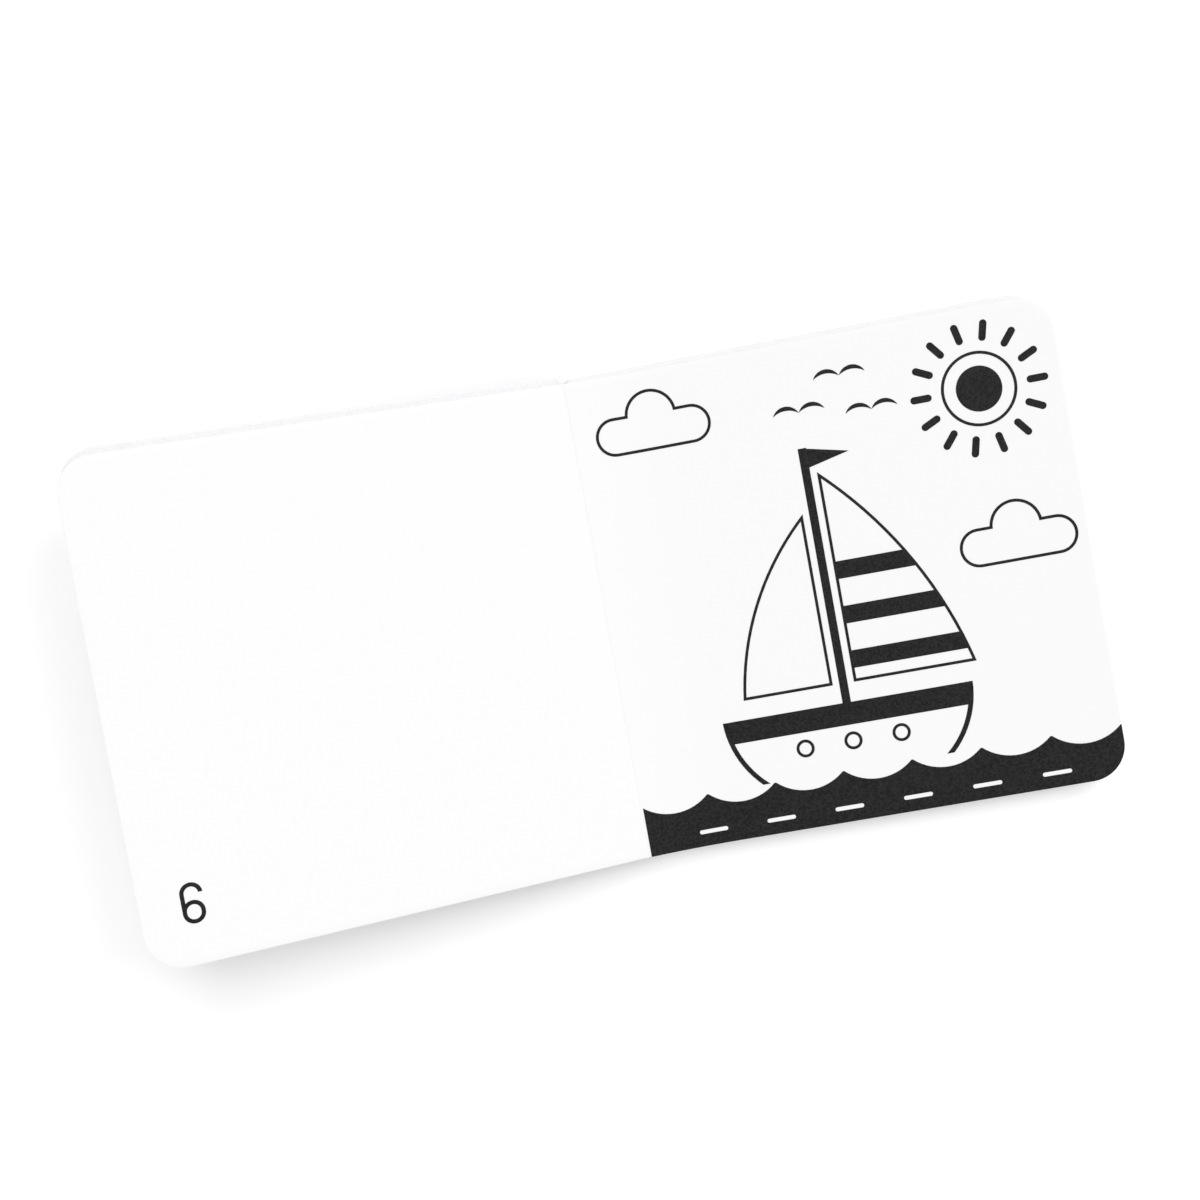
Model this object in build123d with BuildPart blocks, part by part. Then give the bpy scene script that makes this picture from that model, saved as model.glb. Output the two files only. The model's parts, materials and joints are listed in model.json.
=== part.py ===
from build123d import *
from collections import namedtuple
import math
import os

os.makedirs("parts", exist_ok=True)

# Board book, lying open: the right half flat on the table, the left half raised at the crease.
# X runs from the left page to the right page, Y from tail to head, Z up from the table.

# Pages and cover
page_width = 150.0
page_height = 150.0
corner_radius = 11.0
leaf_thickness = 1.9
sheet_thickness = 0.45
cover_thickness = 0.8
right_leaf_count = 5
left_leaf_count = 3

# How the open book lies. The leaves lean towards the head, so the cover leads the open page there.
left_raise_deg = 15.5
gutter_rise = 2.9
gutter_ease = 30.0
cover_lead = 3.0

# Folds, edges and gaps
crease_gap = 0.05
spine_gap = 0.15
leaf_fold_radius = 0.5
cover_fold_radius = 0.45
leaf_groove_width = 0.14
leaf_groove_depth = 0.3
score_from_spine = 6.0
score_width = 1.2
score_depth = 0.25

# Ink
ink_thickness = 0.08
print_gutter_margin = 0.8
thin_stroke = 0.9
bold_stroke = 1.5

# Printed sea, along the tail of the right page
sea_height = 16.0
wave_count = 7
wave_depth = 4.0
crest_width = 0.5
foam_length = 9.0
foam_width = 1.3
foam_rise = 4.5

# Printed boat
boat_place = -6.0
deck_height = -38.0
hull_depth = 26.0
deck_length = 78.0
keel_length = 46.0
bow_belly = 3.0
strake_depth = 7.0
porthole_count = 3
porthole_pitch = 15.0
porthole_radius = 2.8
porthole_drop = 12.0
mast_width = 2.6
mast_height = 80.0
sail_gap = 2.0
sail_foot_height = 6.0
main_sail_foot = 38.0
main_sail_height = 66.0
jib_foot = 28.0
jib_height = 54.0
sail_belly = 4.0
stripe_width = 5.5
stripe_pitch = 14.0
stripe_count = 3
pennant_length = 14.0
pennant_width = 6.5

# Printed sun, clouds and birds
sun_place = (50.0, 50.0)
sun_disc_radius = 7.0
sun_ring_radius = 11.5
ray_count = 14
ray_start = 14.5
ray_length = 6.5
ray_width = 2.2
cloud_places = [(-50.0, 50.0), (54.0, -4.0)]
cloud_puff_radius = 6.0
cloud_puff_spread = 12.0
cloud_crown_radius = 8.0
cloud_crown_height = 11.0
bird_places = [(9.0, 62.0), (17.0, 50.0), (-5.0, 53.0)]
bird_span = 8.0
bird_lift = 2.6
bird_thickness = 1.3

# Printed page number
number_height = 12.0
number_width = 6.4
number_bowl = 6.8
number_stroke = 1.2
number_from_fore_edge = 15.0
number_from_tail = 12.0

# Worked-out sizes
spine_inner = spine_gap + cover_thickness
bend_x = spine_inner + cover_fold_radius
bend_top = cover_thickness + cover_fold_radius
right_thickness = cover_thickness + right_leaf_count * leaf_thickness
left_thickness = cover_thickness + left_leaf_count * leaf_thickness
crease_height = right_thickness + gutter_rise
left_raise = math.radians(left_raise_deg)
left_reach = page_width * math.cos(left_raise) + left_thickness * math.sin(left_raise)
crease_x = (left_reach - page_width) / 2
crease_y = -cover_lead / 2
crease_point = Vector(crease_x, crease_y, crease_height)
left_up = Vector(math.sin(left_raise), 0, math.cos(left_raise))
left_outward = Vector(-math.cos(left_raise), 0, math.sin(left_raise))

# One half of the book. Its plane holds the section: local x runs from the crease to the fore-edge, and
# local y from the cover's outside to the page. The rise is how far the page lifts at the gutter.
Half = namedtuple("Half", "plane thickness leaf_count rise")
right = Half(
    plane=Plane(origin=(crease_x, crease_y, 0), x_dir=(1, 0, 0), z_dir=(0, -1, 0)),
    thickness=right_thickness,
    leaf_count=right_leaf_count,
    rise=gutter_rise,
)
left = Half(
    plane=Plane(origin=crease_point - left_up * left_thickness, x_dir=left_outward, z_dir=(0, 1, 0)),
    thickness=left_thickness,
    leaf_count=left_leaf_count,
    rise=0.0,
)


def rise_at(half, height):
    """How far a layer lifts at the gutter: the cover stays flat and the page lifts most."""
    return half.rise * max(0.0, height - cover_thickness) / (half.thickness - cover_thickness)


def level_at(half, height, x):
    """The height of a layer at a distance from the crease: an arc that eases onto the flat."""
    rise = rise_at(half, height)
    if rise <= 0 or x >= gutter_ease:
        return height
    radius = (gutter_ease**2 + rise**2) / (2 * rise)
    return height + radius - math.sqrt(radius**2 - (gutter_ease - x) ** 2)


def level_line(half, height, inner, fore):
    """Draws a layer's lower or upper line, and gives its inner and outer ends."""
    inner_end = (inner, level_at(half, height, inner))
    fore_end = (fore, height)
    if rise_at(half, height) <= 0:
        Line(fore_end, inner_end)
    else:
        Line(fore_end, (gutter_ease, height))
        TangentArc((gutter_ease, height), inner_end, tangent=(-1, 0))
    return inner_end, fore_end


def section_plane(half, lead):
    """The plane of a half's section, through the middle of a board that leads the page by this much."""
    return half.plane.offset(lead * half.plane.z_dir.Y)


def round_fore_corners(board, half, radius):
    """Rounds the two corners at the fore-edge of a board."""
    corners = board.edges().filter_by(Axis(half.plane.origin, half.plane.y_dir))
    fillet(corners.group_by(Axis(half.plane.origin, half.plane.x_dir))[-1], radius)


def layer(half, bottom, top, inner, inset=0.0, lead=0.0, folds=0):
    """One board of a half, between two heights, with this many of its inner edges rounded from below."""
    with BuildPart() as board:
        with BuildSketch(section_plane(half, lead)) as section:
            with BuildLine():
                low_inner, low_fore = level_line(half, bottom, inner, page_width - inset)
                high_inner, high_fore = level_line(half, top, inner, page_width - inset)
                Line(low_inner, high_inner)
                Line(low_fore, high_fore)
            make_face()
            if folds:
                inner_points = section.vertices().group_by(Axis.X)[0].sort_by(Axis.Y)
                fillet(inner_points[:folds], leaf_fold_radius)
        extrude(amount=page_height / 2 - inset, both=True)
        round_fore_corners(board, half, corner_radius - inset)
    return board.part


def page_layers(half):
    """The leaves of a half, each a step nearer the head than the one above, and what joins them."""
    step = cover_lead / half.leaf_count
    half_groove = leaf_groove_width / 2
    layers = []
    for leaves_below in range(half.leaf_count):
        bottom = cover_thickness + leaves_below * leaf_thickness
        top = bottom + leaf_thickness
        lead = (half.leaf_count - 1 - leaves_below) * step
        is_lowest = leaves_below == 0
        is_top = leaves_below == half.leaf_count - 1
        leaf_bottom = bottom if is_lowest else bottom + half_groove
        leaf_top = top if is_top else top - half_groove
        folds = 1 if is_top else 2
        layers.append(layer(half, leaf_bottom, leaf_top, spine_inner, lead=lead, folds=folds))
        if not is_top:
            joint_inner = spine_inner + leaf_fold_radius + leaf_groove_depth
            joint_inset = leaf_groove_depth + step / 2
            joint_lead = lead - step / 2
            joint = layer(half, top - half_groove, top + half_groove, joint_inner, joint_inset, joint_lead)
            layers.append(joint)
    layers.append(layer(half, half.thickness - sheet_thickness, half.thickness, crease_gap))
    return layers


def cover_section():
    """The cover's section: the board with its scored line, and the quarter bend at the spine."""
    with BuildSketch() as section:
        with BuildLine():
            Polyline((bend_x, cover_thickness), (page_width, cover_thickness), (page_width, 0), (bend_x, 0))
            CenterArc((bend_x, bend_top), cover_fold_radius, 180, 90)
            CenterArc((bend_x, bend_top), cover_fold_radius + cover_thickness, 180, 90)
            Line((spine_gap, bend_top), (spine_inner, bend_top))
        make_face()
        with BuildLine():
            Polyline(
                (score_from_spine - score_width / 2, 0),
                (score_from_spine, score_depth),
                (score_from_spine + score_width / 2, 0),
                close=True,
            )
        make_face(mode=Mode.SUBTRACT)
    return section.sketch


def spine_strip(half):
    """The strip from the cover's bend up to the top sheet, which leans towards the head as the leaves do."""
    strip_top = level_at(half, half.thickness - sheet_thickness, spine_inner)
    across = -half.plane.z_dir
    lead = cover_lead * across.Y
    half_height = page_height / 2
    strip_plane = Plane(
        origin=half.plane.origin + half.plane.x_dir * spine_gap, x_dir=across, z_dir=half.plane.x_dir
    )
    with BuildPart() as strip:
        with BuildSketch(strip_plane):
            with BuildLine():
                Polyline(
                    (lead - half_height, bend_top),
                    (lead + half_height, bend_top),
                    (half_height, strip_top),
                    (-half_height, strip_top),
                    close=True,
                )
            make_face()
        extrude(amount=cover_thickness)
    return strip.part


def outlined(shape, stroke):
    """A shape drawn as a line of this width, just inside its edge."""
    with BuildSketch() as drawing:
        add(shape)
        offset(amount=-stroke, kind=Kind.INTERSECTION, mode=Mode.SUBTRACT)
    return drawing.sketch


def sea():
    """A solid band of water along the tail, with scalloped waves and white flecks of foam."""
    wave_length = page_width / wave_count
    half_trough = (wave_length - crest_width) / 2
    trough_radius = (half_trough**2 + wave_depth**2) / (2 * wave_depth)
    floor = -page_height / 2
    with BuildSketch() as drawing:
        with Locations((0, floor + sea_height / 2)):
            Rectangle(page_width, sea_height)
        with Locations((0, floor + sea_height - wave_depth + trough_radius)):
            with GridLocations(wave_length, 1, wave_count, 1):
                Circle(trough_radius, mode=Mode.SUBTRACT)
        with Locations((0, floor + foam_rise)):
            with GridLocations(wave_length, 1, wave_count - 1, 1):
                SlotOverall(foam_length, foam_width, mode=Mode.SUBTRACT)
    return drawing.sketch


def hull():
    """The hull: a raked, round-bellied outline with a solid top strake and a row of portholes."""
    deck_end = deck_length / 2
    keel_end = keel_length / 2
    keel_height = deck_height - hull_depth
    side_x = (deck_end + keel_end) / 2 + bow_belly
    side_y = (deck_height + keel_height) / 2 - bow_belly
    with BuildSketch() as shape:
        with BuildLine():
            Line((-deck_end, deck_height), (deck_end, deck_height))
            ThreePointArc((deck_end, deck_height), (side_x, side_y), (keel_end, keel_height))
            Line((keel_end, keel_height), (-keel_end, keel_height))
            ThreePointArc((-keel_end, keel_height), (-side_x, side_y), (-deck_end, deck_height))
        make_face()
    with BuildSketch() as strake:
        with Locations((0, deck_height - strake_depth / 2)):
            Rectangle(deck_length, strake_depth)
        add(shape.sketch, mode=Mode.INTERSECT)
    with BuildSketch() as drawing:
        add(outlined(shape.sketch, bold_stroke))
        add(strake.sketch)
        with Locations((0, deck_height - porthole_drop)):
            with GridLocations(porthole_pitch, 1, porthole_count, 1):
                Circle(porthole_radius)
                Circle(porthole_radius - thin_stroke, mode=Mode.SUBTRACT)
    return drawing.sketch


def sail(foot, height, side):
    """A three-sided sail with a bellied outer edge, its foot running to one side of the mast."""
    foot_y = deck_height + sail_foot_height
    inner_x = side * (mast_width / 2 + sail_gap)
    outer_x = inner_x + side * foot
    belly = ((inner_x + outer_x) / 2 + side * sail_belly, foot_y + height / 2 + sail_belly)
    with BuildSketch() as shape:
        with BuildLine():
            Line((inner_x, foot_y), (outer_x, foot_y))
            ThreePointArc((outer_x, foot_y), belly, (inner_x, foot_y + height))
            Line((inner_x, foot_y + height), (inner_x, foot_y))
        make_face()
    return shape.sketch


def striped(shape):
    """Solid bands across a sail, counted up from its foot."""
    first = deck_height + sail_foot_height + stripe_pitch / 2
    with BuildSketch() as drawing:
        for number in range(stripe_count):
            with Locations((0, first + number * stripe_pitch)):
                Rectangle(page_width, stripe_width)
        add(shape, mode=Mode.INTERSECT)
    return drawing.sketch


def rigging():
    """The mast and the pennant at its top."""
    mast_top = deck_height + mast_height
    with BuildSketch() as drawing:
        with Locations((0, deck_height + mast_height / 2)):
            Rectangle(mast_width, mast_height)
        with BuildLine():
            Polyline(
                (0, mast_top),
                (pennant_length, mast_top - pennant_width / 2),
                (0, mast_top - pennant_width),
                close=True,
            )
        make_face()
    return drawing.sketch


def sun():
    """A solid disc in a ring, with straight rays all round."""
    with BuildSketch() as drawing:
        Circle(sun_ring_radius)
        Circle(sun_ring_radius - thin_stroke, mode=Mode.SUBTRACT)
        Circle(sun_disc_radius)
        with PolarLocations(ray_start + ray_length / 2, ray_count):
            SlotOverall(ray_length, ray_width)
    return drawing.sketch


def cloud():
    """The outline of three puffs on a flat base."""
    with BuildSketch() as shape:
        with Locations((0, cloud_puff_radius)):
            Rectangle(2 * cloud_puff_spread, 2 * cloud_puff_radius)
            with GridLocations(2 * cloud_puff_spread, 1, 2, 1):
                Circle(cloud_puff_radius)
        with Locations((0, cloud_crown_height)):
            Circle(cloud_crown_radius)
    return outlined(shape.sketch, thin_stroke)


def bird():
    """Two curved wings that meet at a point, thickest in the middle."""
    with BuildSketch() as drawing:
        for side in (-1, 1):
            tip = (side * bird_span, 0)
            middle = side * bird_span / 2
            with BuildLine():
                ThreePointArc((0, 0), (middle, bird_lift), tip)
                ThreePointArc(tip, (middle, bird_lift - bird_thickness), (0, 0))
            make_face()
    return drawing.sketch


def page_picture():
    """The right page's picture, about the page's centre."""
    main_sail = sail(main_sail_foot, main_sail_height, 1)
    jib = sail(jib_foot, jib_height, -1)
    with BuildSketch() as boat:
        add(hull())
        add(outlined(main_sail, thin_stroke))
        add(striped(main_sail))
        add(outlined(jib, thin_stroke))
        add(rigging())
    with BuildSketch() as drawing:
        add(Pos(boat_place, 0) * boat.sketch)
        add(Pos(*sun_place) * sun())
        for place in cloud_places:
            add(Pos(*place) * cloud())
        for place in bird_places:
            add(Pos(*place) * bird())
        with Locations((0, (sea_height - page_height) / 2)):
            Rectangle(page_width, sea_height, mode=Mode.SUBTRACT)
        add(sea())
    return drawing.sketch


def six():
    """A plain six in one even stroke: a closed bowl, a straight back and a round hook."""
    radius = number_width / 2
    inner_radius = radius - number_stroke
    with BuildSketch() as drawing:
        with Locations((0, number_height - radius)):
            Circle(radius)
            Circle(inner_radius, mode=Mode.SUBTRACT)
            Rectangle(number_width, number_width, align=(Align.CENTER, Align.MAX), mode=Mode.SUBTRACT)
        with Locations((-radius, radius)):
            Rectangle(number_stroke, number_height - number_width, align=(Align.MIN, Align.MIN))
        with Locations((0, number_bowl / 2)):
            SlotOverall(number_bowl, number_width, rotation=90)
            SlotOverall(number_bowl - 2 * number_stroke, 2 * inner_radius, rotation=90, mode=Mode.SUBTRACT)
    return drawing.sketch


# Back cover, which lies on the table, and front cover, which is raised
right_strip = spine_strip(right)
with BuildPart() as back_cover:
    with BuildSketch(section_plane(right, cover_lead)):
        add(cover_section())
    extrude(amount=page_height / 2, both=True)
    round_fore_corners(back_cover, right, corner_radius)
    add(right_strip)

left_strip = spine_strip(left)
with BuildPart() as front_cover:
    with BuildSketch(section_plane(left, cover_lead)):
        add(cover_section())
    extrude(amount=page_height / 2, both=True)
    round_fore_corners(front_cover, left, corner_radius)
    add(left_strip)

# The pages on either side of the opening
right_layers = page_layers(right)
with BuildPart() as right_pages:
    add(right_layers)

left_layers = page_layers(left)
with BuildPart() as left_pages:
    add(left_layers)

# The ink: a thin film on the right page that follows its curve, and a number on the left page
film = layer(right, right_thickness, right_thickness + ink_thickness, print_gutter_margin)
picture = page_picture()
picture_plane = Plane(origin=(crease_x + page_width / 2, crease_y, 0))
with BuildPart() as right_print:
    with BuildSketch(picture_plane):
        add(picture)
    extrude(amount=2 * crease_height)
    add(film, mode=Mode.INTERSECT)

number_place = crease_point + left_outward * (page_width - number_from_fore_edge)
number_plane = Plane(
    origin=number_place - Vector(0, page_height / 2 - number_from_tail, 0), x_dir=-left_outward, z_dir=left_up
)
with BuildPart() as page_number:
    with BuildSketch(number_plane):
        add(six())
    extrude(amount=ink_thickness)

back_cover.part.label = "back_cover"
front_cover.part.label = "front_cover"
right_pages.part.label = "right_pages"
left_pages.part.label = "left_pages"
right_print.part.label = "right_print"
page_number.part.label = "page_number"

export_step(back_cover.part, "parts/back_cover.step")
export_step(front_cover.part, "parts/front_cover.step")
export_step(right_pages.part, "parts/right_pages.step")
export_step(left_pages.part, "parts/left_pages.step")
export_step(right_print.part, "parts/right_print.step")
export_step(page_number.part, "parts/page_number.step")
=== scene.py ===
import json
import math
from collections import namedtuple

import bpy
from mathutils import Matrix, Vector, noise


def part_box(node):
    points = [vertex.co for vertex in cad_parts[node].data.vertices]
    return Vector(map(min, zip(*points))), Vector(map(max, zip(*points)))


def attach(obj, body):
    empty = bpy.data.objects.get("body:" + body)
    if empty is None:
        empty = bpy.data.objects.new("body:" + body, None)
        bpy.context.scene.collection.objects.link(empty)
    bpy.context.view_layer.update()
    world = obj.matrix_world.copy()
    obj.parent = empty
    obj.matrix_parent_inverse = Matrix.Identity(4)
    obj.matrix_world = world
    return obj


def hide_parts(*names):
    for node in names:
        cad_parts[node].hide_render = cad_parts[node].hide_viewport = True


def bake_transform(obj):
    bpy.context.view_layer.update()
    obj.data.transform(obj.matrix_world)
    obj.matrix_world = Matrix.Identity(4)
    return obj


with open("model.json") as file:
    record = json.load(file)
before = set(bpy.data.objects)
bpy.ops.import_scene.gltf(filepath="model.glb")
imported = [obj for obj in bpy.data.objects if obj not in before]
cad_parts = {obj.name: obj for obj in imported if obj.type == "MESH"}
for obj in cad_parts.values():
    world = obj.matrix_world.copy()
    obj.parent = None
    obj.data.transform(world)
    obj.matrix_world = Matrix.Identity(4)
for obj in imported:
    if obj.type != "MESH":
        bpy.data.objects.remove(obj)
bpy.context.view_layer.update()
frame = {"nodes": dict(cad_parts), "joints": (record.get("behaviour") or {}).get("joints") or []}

MM = 0.001
JOINT = frame["joints"][0]

# The book's sizes, as its source gives them
PAGE_WIDTH = 150 * MM
PAGE_HEIGHT = 150 * MM
CORNER_RADIUS = 11 * MM
LEAF_THICKNESS = 1.9 * MM
SHEET_THICKNESS = 0.45 * MM
COVER_THICKNESS = 0.8 * MM
RIGHT_LEAF_COUNT = 5
LEFT_LEAF_COUNT = 3
LEFT_RAISE = math.radians(15.5)
GUTTER_RISE = 2.9 * MM
GUTTER_EASE = 30 * MM
COVER_LEAD = 3 * MM
SPINE_GAP = 0.15 * MM
COVER_FOLD_RADIUS = 0.45 * MM
SCORE_FROM_SPINE = 6 * MM
SCORE_WIDTH = 1.2 * MM
SCORE_DEPTH = 0.25 * MM

# Fine form of the boards, whose folds the spine's glue fills up
LEAF_GAP = 0.12 * MM
LEAF_FOLD_RADIUS = 0.18 * MM
EDGE_RADIUS = 0.1 * MM
LEAF_SHIFT = 0.12 * MM
SHIFT_SEED = 7
# The ledge band on each face's rim, over which the ledges' painted shade fades out
LEDGE = 1.2 * MM
CREASE_DIP = 0.08 * MM
CREASE_REACH = 0.5 * MM
# How much of the crease's painted shade is left at the tail, from all of it at the head
CREASE_TAIL_FADE = 0.35

# How finely the boards are divided, from the crease to the fore-edge and from tail to head
EASE_STEPS = 24
LEAF_FLAT_STEPS = 12
SHEET_FLAT_STEPS = 20
COVER_FLAT_STEPS = 12
CORNER_STEPS = 10
STRIP_STEPS = 4
BEND_STEPS = 5
FOLD_STEPS = 12
TO_SCORE_STEPS = 4
SCORE_STEPS = 8
SHEET_ROW_COUNT = 61

# Where a leaf's even columns start beside its fold, and where the sheet's columns stand beside the crease,
# in reaches of the pressed line
LEAF_COLUMNS_START = 1 * MM
CREASE_COLUMNS = (0.2, 0.4, 0.6, 0.8, 1.0, 1.5, 2.5)
SHEET_COLUMNS_START = 4

# Where the camera of the photograph stood, and the way it was turned
CAMERA_PLACE = Vector((20.56, 15.40, 371.79)) * MM
CAMERA_TURN_DEG = (-2.197, 3.348, -10.386)
CAMERA_LENS_MM = 34.65
SENSOR_MM = 36.0
CLIP_NEAR = 0.01
CLIP_FAR = 20.0

# Light from all round, with a soft lamp above the head and a weaker one at the right, on a white floor
Lamp = namedtuple("Lamp", "comes_from strength spread_deg")
LAMPS = {
    "head_lamp": Lamp(Vector((0.3, 0.52, 1.0)), 0.95, 27.0),
    "right_lamp": Lamp(Vector((0.9, 0.32, 1.0)), 0.4, 18.0),
}
SKY_STRENGTH = 0.652
SKY_WHITE = 1.0
FLOOR_WHITE = 1.07
FLOOR_BOUNCE = 0.8
FLOOR_HALF = 2.0
FLOOR_DROP = 0.02 * MM

# Colours, each pair in the order of its ramp, and where the ramp's two ends lie
PAGE_FACE = ((0.96, 0.96, 0.96), (0.94, 0.94, 0.94))
# The cut edges' tones, which also paint shade on the stepped ledges of the lower leaves
PAGE_EDGE_AND_LEDGE_SHADE = ((0.79, 0.79, 0.805), (0.87, 0.87, 0.88))
COVER_FACE = ((0.94, 0.94, 0.94), (0.91, 0.91, 0.91))
# The cover's cut-edge tones, which also paint shade on the cover's ledge
COVER_EDGE_AND_LEDGE_SHADE = ((0.85, 0.85, 0.86), (0.91, 0.91, 0.92))
# The crease band's tones: painted shade along the crease, mottled with the coating's cracks
CREASE_SHADE_AND_CRACK_TONES = ((0.87, 0.87, 0.87), (0.94, 0.94, 0.94))
INK_TONES = ((0.001, 0.001, 0.001), (0.0175, 0.0185, 0.018))
FACE_RAMP = (0.35, 0.65)
EDGE_RAMP = (0.35, 0.62)
CRACK_RAMP = (0.36, 0.56)
INK_RAMP = (0.37, 0.63)

# Noise cells to a metre: along X, Y and Z, or the same in every direction
FIBRE_STRETCH = (500, 2600, 900)
PLY_STRETCH = (160, 160, 5200)
CRACK_STRETCH = (3000, 700, 3000)
CLOUD_SCALE = 90.0
GRAIN_SCALE = 4200.0
MOTTLE_SCALE = 1400.0

# Each bump's strength and height, and the gloss of board and ink
FIBRE_BUMP = (0.25, 0.02 * MM)
GRAIN_BUMP = (0.3, 0.02 * MM)
CRACK_BUMP = (0.4, 0.12 * MM)
BOARD_SPECULAR = 0.2
BOARD_ROUGHNESS = (0.62, 0.8)
INK_SPECULAR = 0.18
INK_ROUGHNESS = (0.55, 0.75)

# One half of the book: its body, its two directions, its pile, how far its pages lift at the crease, and
# how much shade is painted on the stepped ledges of its leaves
Half = namedtuple("Half", "body outward up thickness leaf_count rise ledge_grey")
PAGE_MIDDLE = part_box("right_pages")[0].y + PAGE_HEIGHT / 2
CREASE = Vector((JOINT["pos_m"][0], PAGE_MIDDLE, JOINT["pos_m"][2]))
RIGHT = Half(
    body="back_half",
    outward=Vector((1, 0, 0)),
    up=Vector((0, 0, 1)),
    thickness=COVER_THICKNESS + RIGHT_LEAF_COUNT * LEAF_THICKNESS,
    leaf_count=RIGHT_LEAF_COUNT,
    rise=GUTTER_RISE,
    # Painted shade on the right half's ledges, lighter than on the left
    ledge_grey=0.35,
)
LEFT = Half(
    body="front_half",
    outward=Vector((-math.cos(LEFT_RAISE), 0, math.sin(LEFT_RAISE))),
    up=Vector((math.sin(LEFT_RAISE), 0, math.cos(LEFT_RAISE))),
    thickness=COVER_THICKNESS + LEFT_LEAF_COUNT * LEAF_THICKNESS,
    leaf_count=LEFT_LEAF_COUNT,
    rise=0.0,
    # Painted shade on the left half's ledges, greyer than on the right
    ledge_grey=0.9,
)
# How much shade is painted on the cover's ledge, in its cut edge's tone
COVER_PAINTED_LEDGE_SHADE = 1.0
SPINE_INNER = SPINE_GAP + COVER_THICKNESS
BEND_OUT = SPINE_INNER + COVER_FOLD_RADIUS
BEND_TOP = COVER_THICKNESS + COVER_FOLD_RADIUS


def bell(distance, reach):
    """One at the middle, falling smoothly to nothing at the reach."""
    if abs(distance) >= reach:
        return 0.0
    return (1 + math.cos(math.pi * distance / reach)) / 2


def evenly(start, end, steps):
    """Places from start up to, but not including, end."""
    return [start + (end - start) * step / steps for step in range(steps)]


def level_at(half, height, out):
    """The height of a layer above the cover's outside, at a distance from the crease."""
    share = (height - COVER_THICKNESS) / (half.thickness - COVER_THICKNESS)
    rise = half.rise * max(0.0, share)
    if rise <= 0 or out >= GUTTER_EASE:
        return height
    radius = (GUTTER_EASE**2 + rise**2) / (2 * rise)
    return height + radius - math.sqrt(radius**2 - (GUTTER_EASE - out) ** 2)


def placed(half, out, height):
    """A point of a half's section, from its distance to the crease and height above the cover's outside."""
    return CREASE + half.outward * out + half.up * (height - half.thickness - half.rise)


def rim(places, inset):
    """(distance from the crease, half the page's height there), with the round corner after the places."""
    radius = CORNER_RADIUS - inset
    made = [(out, PAGE_HEIGHT / 2 - inset) for out in places]
    for step in range(CORNER_STEPS + 1):
        turn = math.pi / 2 * step / CORNER_STEPS
        out = PAGE_WIDTH - CORNER_RADIUS + radius * math.sin(turn)
        made.append((out, PAGE_HEIGHT / 2 - CORNER_RADIUS + radius * math.cos(turn)))
    return made


# A board is a lower face, rings of points up its rounded edge, and an upper face
EDGE_TURNS = [math.radians(turn) for turn in (0, 30, 60, 90)]
RING_COUNT = 2 * len(EDGE_TURNS)
TOP_RING = RING_COUNT - 1
LEDGE_SHARE = 1 - 2 * LEDGE / PAGE_HEIGHT
LEAF_ROWS = [-1.0, -LEDGE_SHARE, -0.6, -0.2, 0.2, 0.6, LEDGE_SHARE, 1.0]


def ring_edge(ring):
    """How far a ring lies in from the edge and away from its face, both in radii of the edge, and whether it
    is of the upper edge."""
    is_upper = ring > TOP_RING // 2
    turn = EDGE_TURNS[TOP_RING - ring] if is_upper else EDGE_TURNS[ring]
    return 1 - math.sin(turn), 1 - math.cos(turn), is_upper


def closed_board(point_at, column_count, rows, ledge):
    """A board's points, its faces, and how much of each point takes the cut edge's tone: all of it between
    the faces, and on a face's rim the ledge's share, which is painted shade on the stepped ledges.
    point_at(ring, column, share) gives a point, where the share runs from -1 at the tail to 1 at the head."""
    points, cut = [], []
    index = {}
    row_count = len(rows)
    for ring in range(RING_COUNT):
        is_face = ring in (0, TOP_RING)
        for column in range(column_count):
            for row, share in enumerate(rows):
                on_rim = column in (0, column_count - 1) or row in (0, row_count - 1)
                if on_rim or is_face:
                    index[ring, column, row] = len(points)
                    points.append(point_at(ring, column, share))
                    # On a face's rim the ledge's share is painted shade, in the cut edge's tone
                    on_face = ledge if on_rim else 0.0
                    cut.append(on_face if is_face else 1.0)
    faces = []
    for ring, is_turned in ((0, True), (TOP_RING, False)):
        for column in range(column_count - 1):
            for row in range(row_count - 1):
                corners = ((column, row), (column + 1, row), (column + 1, row + 1), (column, row + 1))
                face = [index[(ring, *corner)] for corner in corners]
                faces.append(face[::-1] if is_turned else face)
    loop = [(column, 0) for column in range(column_count - 1)]
    loop += [(column_count - 1, row) for row in range(row_count - 1)]
    loop += [(column, row_count - 1) for column in range(column_count - 1, 0, -1)]
    loop += [(0, row) for row in range(row_count - 1, 0, -1)]
    for ring in range(TOP_RING):
        for here, there in zip(loop, loop[1:] + loop[:1]):
            low = [index[(ring, *here)], index[(ring, *there)]]
            high = [index[(ring + 1, *there)], index[(ring + 1, *here)]]
            faces.append(low + high)
    return points, faces, cut


def board_object(name, boards, body=None):
    """One smooth object from several boards, which rides on a body if it is given one."""
    points, faces, cut = [], [], []
    for board_points, board_faces, board_cut in boards:
        faces += [[len(points) + corner for corner in face] for face in board_faces]
        points += board_points
        cut += board_cut
    mesh = bpy.data.meshes.new(name)
    mesh.from_pydata(points, [], faces)
    # The cut edges' share of the edge tone, with the ledges' painted shade
    mesh.attributes.new("cut_edge_and_ledge_shade", "FLOAT", "POINT").data.foreach_set("value", cut)
    mesh.shade_smooth()
    made = bpy.data.objects.new(name, mesh)
    bpy.context.scene.collection.objects.link(made)
    if body:
        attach(made, body)
    return made


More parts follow.
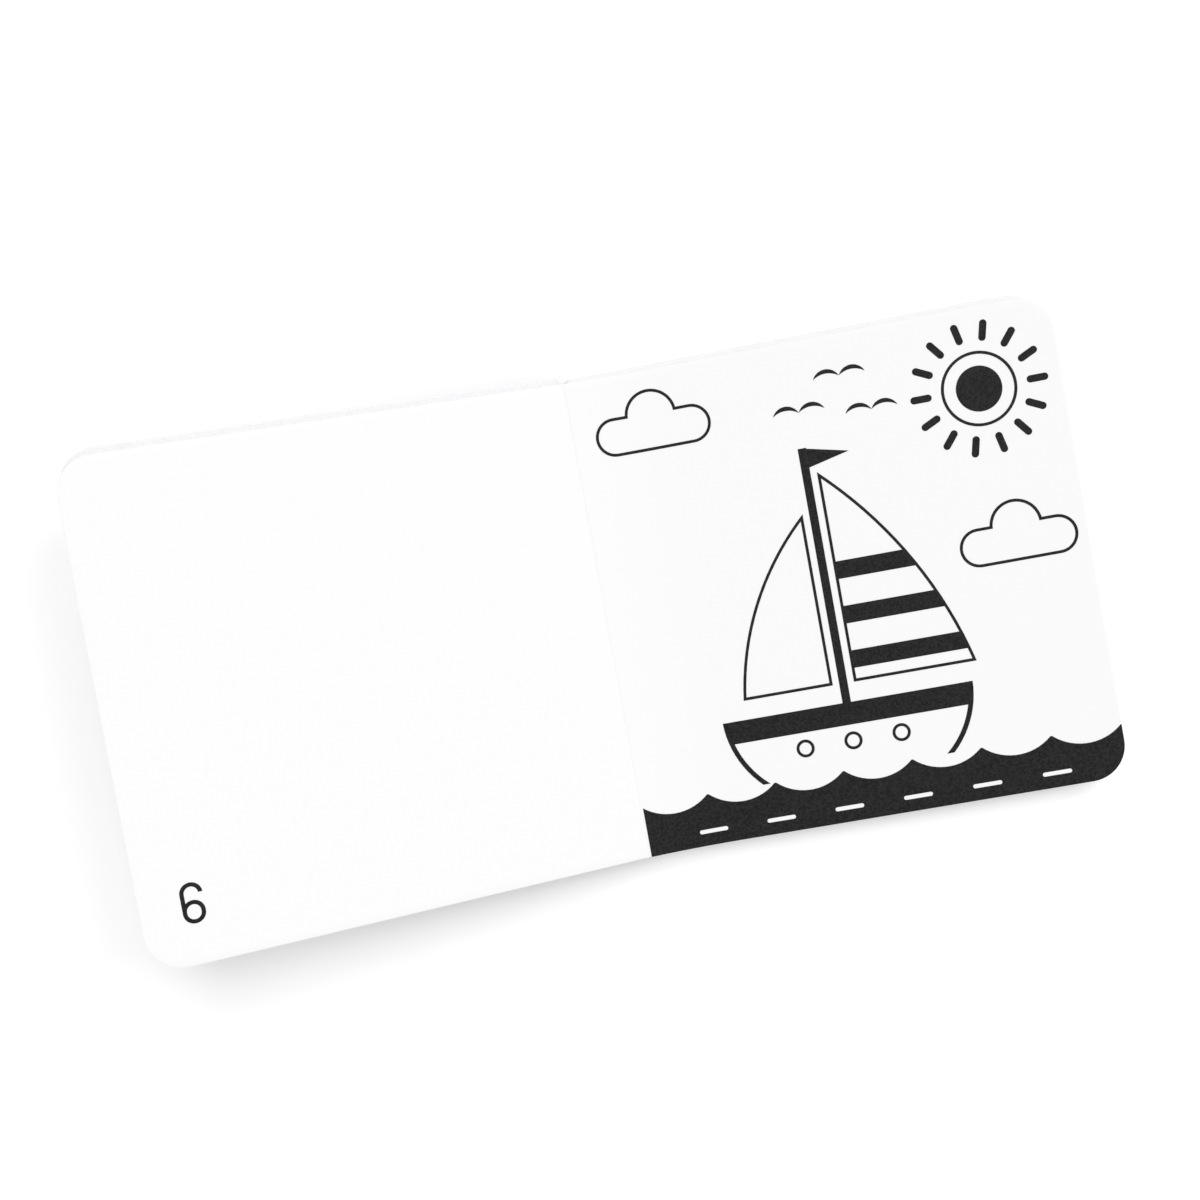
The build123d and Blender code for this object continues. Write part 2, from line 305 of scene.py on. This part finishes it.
def leaf(half, bottom, top, lead, is_top):
    """One board leaf: folds rounded at the spine, cut edges softly broken, a hair out of line."""
    slip = noise.random_vector() * LEAF_SHIFT
    places = evenly(SPINE_INNER + LEAF_COLUMNS_START, GUTTER_EASE, EASE_STEPS)
    places += evenly(GUTTER_EASE, PAGE_WIDTH - CORNER_RADIUS, LEAF_FLAT_STEPS)
    rims = []
    for ring in range(RING_COUNT):
        inset = EDGE_RADIUS * ring_edge(ring)[0]
        rims.append([(SPINE_INNER, PAGE_HEIGHT / 2 - inset)] + rim(places, inset))

    def point_at(ring, column, share):
        inset, drop, is_upper = ring_edge(ring)
        out, half_height = rims[ring][column]
        radius = EDGE_RADIUS
        if column == 0 and not (is_top and is_upper):
            radius = LEAF_FOLD_RADIUS
            out += radius * inset
        height = top - radius * drop if is_upper else bottom + radius * drop
        fore_share = max(0.0, (out - GUTTER_EASE) / (PAGE_WIDTH - GUTTER_EASE))
        along = half_height * share + lead + abs(slip.y)
        place = placed(half, out - abs(slip.x) * fore_share, level_at(half, height, out))
        return place + Vector((0, along, 0))

    # Lower leaves get painted shade on their ledges, the top leaf none
    return closed_board(point_at, len(rims[0]), LEAF_ROWS, ledge=0.0 if is_top else half.ledge_grey)


def leaves(name, half):
    """The board leaves of a half, each a step nearer the head than the one above it."""
    step = COVER_LEAD / half.leaf_count
    boards = []
    for leaves_below in range(half.leaf_count):
        is_top = leaves_below == half.leaf_count - 1
        bottom = COVER_THICKNESS + leaves_below * LEAF_THICKNESS + LEAF_GAP / 2
        top = half.thickness - SHEET_THICKNESS if is_top else bottom + LEAF_THICKNESS - LEAF_GAP
        lead = (half.leaf_count - 1 - leaves_below) * step
        boards.append(leaf(half, bottom, top, lead, is_top))
    return board_object(name, boards, half.body)


def spread_sheet():
    """The printed sheet of the open pages, in one piece, with a crease pressed in."""
    rows = [2 * row / (SHEET_ROW_COUNT - 1) - 1 for row in range(SHEET_ROW_COUNT)]
    places = [CREASE_REACH * share for share in CREASE_COLUMNS]
    places += evenly(SHEET_COLUMNS_START * CREASE_REACH, GUTTER_EASE, EASE_STEPS)
    places += evenly(GUTTER_EASE, PAGE_WIDTH - CORNER_RADIUS, SHEET_FLAT_STEPS)
    rims = []
    for ring in range(RING_COUNT):
        inset = EDGE_RADIUS * ring_edge(ring)[0]
        right_side = rim(places, inset)
        left_side = [(-out, half_height) for out, half_height in reversed(right_side)]
        rims.append(left_side + [(0.0, PAGE_HEIGHT / 2 - inset)] + right_side)

    def point_at(ring, column, share):
        inset, drop, is_upper = ring_edge(ring)
        out, half_height = rims[ring][column]
        depth = EDGE_RADIUS * drop if is_upper else SHEET_THICKNESS - EDGE_RADIUS * drop
        depth += CREASE_DIP * bell(out, CREASE_REACH)
        half = RIGHT if out > 0 else LEFT
        place = placed(half, abs(out), level_at(half, half.thickness, abs(out)) - depth)
        if out == 0:
            place = CREASE - (LEFT.up + RIGHT.up).normalized() * depth
        return place + Vector((0, half_height * share, 0))

    made = board_object("spread_sheet", [closed_board(point_at, len(rims[0]), rows, ledge=0.0)])
    # Where shade is painted along the crease, fading toward the tail
    pressed = []
    for point in made.data.vertices:
        head_share = (point.co.y - CREASE.y) / PAGE_HEIGHT + 0.5
        crease_fade = CREASE_TAIL_FADE + (1 - CREASE_TAIL_FADE) * head_share
        pressed.append(crease_fade * bell(point.co.x - CREASE.x, CREASE_REACH))
    made.data.attributes.new("crease", "FLOAT", "POINT").data.foreach_set("value", pressed)
    return made


def cover_side(half, inset, strip_top):
    """One side of the cover's middle line, from the top of the spine strip round the bend to the fore-edge:
    (point, direction to the pages, half the height, pressed score)."""
    middle = COVER_THICKNESS / 2
    full = PAGE_HEIGHT / 2 - inset
    bend_radius = COVER_FOLD_RADIUS + middle
    side = []
    for height in evenly(strip_top, BEND_TOP, STRIP_STEPS):
        side.append((placed(half, SPINE_GAP + middle, height), half.outward, full, 0.0))
    for turn in evenly(0, math.pi / 2, BEND_STEPS):
        to_pages = half.outward * math.cos(turn) + half.up * math.sin(turn)
        side.append((placed(half, BEND_OUT, BEND_TOP) - to_pages * bend_radius, to_pages, full, 0.0))
    score_start = SCORE_FROM_SPINE - SCORE_WIDTH / 2
    score_end = SCORE_FROM_SPINE + SCORE_WIDTH / 2
    places = evenly(BEND_OUT, score_start, TO_SCORE_STEPS) + evenly(score_start, score_end, SCORE_STEPS)
    places += evenly(score_end, PAGE_WIDTH - CORNER_RADIUS, COVER_FLAT_STEPS)
    for out, half_height in rim(places, inset):
        score = SCORE_DEPTH * bell(out - SCORE_FROM_SPINE, SCORE_WIDTH / 2)
        side.append((placed(half, out, middle), half.up, half_height, score))
    return side


def cover_line(inset):
    """The cover's middle line from the right fore-edge, up and over the spine fold, to the left fore-edge.
    The fold is an arc that touches both spine strips, with its top just under the sheet's crease."""
    apex_drop = SHEET_THICKNESS + CREASE_DIP + COVER_THICKNESS / 2
    spine_out = SPINE_GAP + COVER_THICKNESS / 2
    lean = (1 + math.cos(LEFT_RAISE)) / math.sin(LEFT_RAISE)
    centre_out = -(spine_out + apex_drop) / (lean - 1)
    radius = spine_out - centre_out
    centre = CREASE + Vector((centre_out, 0, centre_out * lean))
    full = PAGE_HEIGHT / 2 - inset
    fold = []
    for turn in evenly(0, math.pi - LEFT_RAISE, FOLD_STEPS)[1:]:
        to_pages = Vector((math.cos(turn), 0, math.sin(turn)))
        fold.append((centre + to_pages * radius, to_pages, full, 0.0))
    below_crease = -centre_out * lean
    right_side = cover_side(RIGHT, inset, RIGHT.thickness + RIGHT.rise - below_crease)
    left_side = cover_side(LEFT, inset, LEFT.thickness + LEFT.rise - below_crease)
    return right_side[::-1] + fold + left_side


def lead_of(point):
    """How far the cover leads the open page at a point: fully at the boards, and up the leaning spine no
    further than the stepped ends of the leaves."""
    half = RIGHT if point.x > CREASE.x else LEFT
    top = half.thickness + half.rise
    height = top + (point - CREASE).dot(half.up)
    step = COVER_LEAD / half.leaf_count
    step_height = (top - COVER_THICKNESS) / half.leaf_count
    beside_leaves = COVER_LEAD - step * (1 + (max(height, BEND_TOP) - COVER_THICKNESS) / step_height)
    if height >= BEND_TOP:
        return max(0.0, beside_leaves)
    round_bend = min(1.0, (BEND_TOP - height) / (BEND_TOP - COVER_THICKNESS / 2))
    return beside_leaves + (COVER_LEAD - beside_leaves) * round_bend


def cover_card():
    """The cover, one card from fore-edge to fore-edge, folded up to the crease along the spine."""
    lines = [cover_line(EDGE_RADIUS * ring_edge(ring)[0]) for ring in range(RING_COUNT)]

    def point_at(ring, column, share):
        inset, drop, is_upper = ring_edge(ring)
        middle, to_pages, half_height, score = lines[ring][column]
        from_middle = COVER_THICKNESS / 2 - EDGE_RADIUS * drop
        offset = from_middle if is_upper else score - from_middle
        return middle + to_pages * offset + Vector((0, half_height * share + lead_of(middle), 0))

    # The cover's ledge gets painted shade in its cut edge's tone
    board = closed_board(point_at, len(lines[0]), LEAF_ROWS, ledge=COVER_PAINTED_LEDGE_SHADE)
    return board_object("cover_card", [board])


# Materials

def new_material(name):
    material = bpy.data.materials.new(name)
    material.use_nodes = True
    material.node_tree.nodes.clear()
    return material, material.node_tree.nodes, material.node_tree.links


def noise_node(nodes, links, vector, scale=1.0, detail=2.0, roughness=0.5):
    made = nodes.new("ShaderNodeTexNoise")
    made.inputs["Scale"].default_value = scale
    made.inputs["Detail"].default_value = detail
    made.inputs["Roughness"].default_value = roughness
    links.new(vector, made.inputs["Vector"])
    return made.outputs["Fac"]


def ramp_node(nodes, links, value, places, colours):
    """The first colour up to the first place, the second from the second place on, and a blend between."""
    made = nodes.new("ShaderNodeValToRGB")
    for element, place, colour in zip(made.color_ramp.elements, places, colours):
        element.position = place
        element.color = (*colour, 1.0)
    links.new(value, made.inputs["Fac"])
    return made.outputs["Color"]


def mix_colours(nodes, links, share, first, second):
    made = nodes.new("ShaderNodeMix")
    made.data_type = "RGBA"
    links.new(share, made.inputs["Factor"])
    links.new(first, made.inputs["A"])
    links.new(second, made.inputs["B"])
    return made.outputs["Result"]


def ranged(nodes, links, value, low, high):
    """A value from 0 to 1, moved to between low and high."""
    made = nodes.new("ShaderNodeMapRange")
    made.inputs["To Min"].default_value = low
    made.inputs["To Max"].default_value = high
    links.new(value, made.inputs["Value"])
    return made.outputs["Result"]


def combined(nodes, links, operation, first, second):
    made = nodes.new("ShaderNodeMath")
    made.operation = operation
    links.new(first, made.inputs[0])
    links.new(second, made.inputs[1])
    return made.outputs["Value"]


def bump_node(nodes, links, height, strength, distance, below=None):
    """A bump, on top of the one below it if there is one."""
    made = nodes.new("ShaderNodeBump")
    made.inputs["Strength"].default_value = strength
    made.inputs["Distance"].default_value = distance
    links.new(height, made.inputs["Height"])
    if below is not None:
        links.new(below, made.inputs["Normal"])
    return made.outputs["Normal"]


def stretched(nodes, links, vector, scale):
    made = nodes.new("ShaderNodeVectorMath")
    made.operation = "MULTIPLY"
    made.inputs[1].default_value = scale
    links.new(vector, made.inputs[0])
    return made.outputs["Vector"]


def attribute(nodes, name):
    made = nodes.new("ShaderNodeAttribute")
    made.attribute_name = name
    return made.outputs["Fac"]


def finish_material(nodes, links, shader):
    output = nodes.new("ShaderNodeOutputMaterial")
    links.new(shader.outputs["BSDF"], output.inputs["Surface"])


def board_material(name, face_tones, edge_and_ledge_shade_tones):
    """White book board: a faintly fibrous face, greyer cut edges with streaky plies, whose tones also paint
    shade on the stepped ledges, and a crease band of painted shade mottled with the coating's cracks.
    """
    material, nodes, links = new_material(name)
    place = nodes.new("ShaderNodeTexCoord").outputs["Object"]
    fibre_place = stretched(nodes, links, place, FIBRE_STRETCH)
    fibre = noise_node(nodes, links, fibre_place, detail=3.0)
    cloud = noise_node(nodes, links, place, scale=CLOUD_SCALE, detail=3.0)
    grain = noise_node(nodes, links, place, scale=GRAIN_SCALE)
    pale_fibre = ramp_node(nodes, links, cloud, FACE_RAMP, face_tones)
    dull_fibre = ramp_node(nodes, links, cloud, FACE_RAMP, face_tones[::-1])
    face = mix_colours(nodes, links, fibre, pale_fibre, dull_fibre)
    ply_place = stretched(nodes, links, place, PLY_STRETCH)
    plies = noise_node(nodes, links, ply_place, detail=4.0, roughness=0.6)
    edge = ramp_node(nodes, links, plies, EDGE_RAMP, edge_and_ledge_shade_tones)
    # Cut edges take the edge tones, and the ledges' rims take them as painted shade
    with_edge_and_ledge_shade = mix_colours(nodes, links, attribute(nodes, "cut_edge_and_ledge_shade"), face, edge)
    crack_place = stretched(nodes, links, place, CRACK_STRETCH)
    cracks = noise_node(nodes, links, crack_place, detail=4.0, roughness=0.7)
    # Painted shade along the crease, mottled with the coating's cracks
    crease_shade_and_crack_colour = ramp_node(nodes, links, cracks, CRACK_RAMP, CREASE_SHADE_AND_CRACK_TONES)
    pressed = attribute(nodes, "crease")
    colour = mix_colours(nodes, links, pressed, with_edge_and_ledge_shade, crease_shade_and_crack_colour)
    soft = bump_node(nodes, links, fibre, *FIBRE_BUMP)
    grainy = bump_node(nodes, links, grain, *GRAIN_BUMP, soft)
    pressed_cracks = combined(nodes, links, "MULTIPLY", pressed, cracks)
    normal = bump_node(nodes, links, pressed_cracks, *CRACK_BUMP, grainy)
    shader = nodes.new("ShaderNodeBsdfPrincipled")
    shader.inputs["Specular IOR Level"].default_value = BOARD_SPECULAR
    links.new(ranged(nodes, links, grain, *BOARD_ROUGHNESS), shader.inputs["Roughness"])
    links.new(colour, shader.inputs["Base Color"])
    links.new(normal, shader.inputs["Normal"])
    finish_material(nodes, links, shader)
    return material


def ink_material():
    """Black printing ink, a little uneven where it sank into the board's grain."""
    material, nodes, links = new_material("printed_ink")
    place = nodes.new("ShaderNodeTexCoord").outputs["Object"]
    mottle = noise_node(nodes, links, place, scale=MOTTLE_SCALE, detail=4.0, roughness=0.6)
    grain = noise_node(nodes, links, place, scale=GRAIN_SCALE)
    shader = nodes.new("ShaderNodeBsdfPrincipled")
    shader.inputs["Specular IOR Level"].default_value = INK_SPECULAR
    links.new(ranged(nodes, links, mottle, *INK_ROUGHNESS), shader.inputs["Roughness"])
    links.new(ramp_node(nodes, links, mottle, INK_RAMP, INK_TONES), shader.inputs["Base Color"])
    links.new(bump_node(nodes, links, grain, *GRAIN_BUMP), shader.inputs["Normal"])
    finish_material(nodes, links, shader)
    return material


def background_rays(nodes, links):
    """One for the rays that see the background as white, from the camera, a reflection or glass."""
    path = nodes.new("ShaderNodeLightPath").outputs
    seen = path["Is Camera Ray"]
    for kind in ("Is Glossy Ray", "Is Transmission Ray"):
        seen = combined(nodes, links, "MAXIMUM", seen, path[kind])
    return seen


def floor_material():
    """A floor that is seen as white, and that sends a weaker light back onto the book."""
    material, nodes, links = new_material("white_floor")
    shader = nodes.new("ShaderNodeBsdfDiffuse")
    level = ranged(nodes, links, background_rays(nodes, links), FLOOR_BOUNCE, FLOOR_WHITE)
    links.new(level, shader.inputs["Color"])
    finish_material(nodes, links, shader)
    return material


def dress(piece, material):
    piece.data.materials.clear()
    piece.data.materials.append(material)


PAGE_BOARD = board_material("page_board", PAGE_FACE, PAGE_EDGE_AND_LEDGE_SHADE)
COVER_BOARD = board_material("cover_board", COVER_FACE, COVER_EDGE_AND_LEDGE_SHADE)
INK = ink_material()

# The open pages
noise.seed_set(SHIFT_SEED)
right_leaves = leaves("right_leaves", RIGHT)
left_leaves = leaves("left_leaves", LEFT)
spread = spread_sheet()
for piece in (right_leaves, left_leaves, spread):
    dress(piece, PAGE_BOARD)
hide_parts("right_pages")
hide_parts("left_pages")
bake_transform(spread)

# The cover, and the print, whose solids stay
cover = cover_card()
dress(cover, COVER_BOARD)
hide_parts("back_cover", "front_cover")
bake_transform(cover)
for node in ("right_print", "page_number"):
    dress(frame["nodes"][node], INK)

# The floor
floor_mesh = bpy.data.meshes.new("floor")
floor_corners = [(-1, -1), (1, -1), (1, 1), (-1, 1)]
floor_points = [(x * FLOOR_HALF, y * FLOOR_HALF, -FLOOR_DROP) for x, y in floor_corners]
floor_mesh.from_pydata(floor_points, [], [(0, 1, 2, 3)])
floor_mesh.materials.append(floor_material())
floor = bpy.data.objects.new("floor", floor_mesh)
bpy.context.scene.collection.objects.link(floor)

# The lamps and the sky
for name, lamp_plan in LAMPS.items():
    lamp_data = bpy.data.lights.new(name, "SUN")
    lamp_data.energy = lamp_plan.strength
    lamp_data.angle = math.radians(lamp_plan.spread_deg)
    lamp = bpy.data.objects.new(name, lamp_data)
    lamp.rotation_euler = lamp_plan.comes_from.to_track_quat("Z", "Y").to_euler()
    bpy.context.scene.collection.objects.link(lamp)

world = bpy.data.worlds.new("studio")
world.use_nodes = True
bpy.context.scene.world = world
world_nodes, world_links = world.node_tree.nodes, world.node_tree.links
world_rays = background_rays(world_nodes, world_links)
sky_level = ranged(world_nodes, world_links, world_rays, SKY_STRENGTH, SKY_WHITE)
world_links.new(sky_level, world_nodes["Background"].inputs["Strength"])
world_nodes["Background"].inputs["Color"].default_value = (1, 1, 1, 1)

# The camera
camera_data = bpy.data.cameras.new("camera")
camera_data.lens = CAMERA_LENS_MM
camera_data.sensor_width = SENSOR_MM
camera_data.clip_start = CLIP_NEAR
camera_data.clip_end = CLIP_FAR
camera = bpy.data.objects.new("camera", camera_data)
camera.location = CAMERA_PLACE
camera.rotation_euler = [math.radians(turn) for turn in CAMERA_TURN_DEG]
bpy.context.scene.collection.objects.link(camera)
bpy.context.scene.camera = camera
bpy.context.scene.view_settings.view_transform = "Standard"
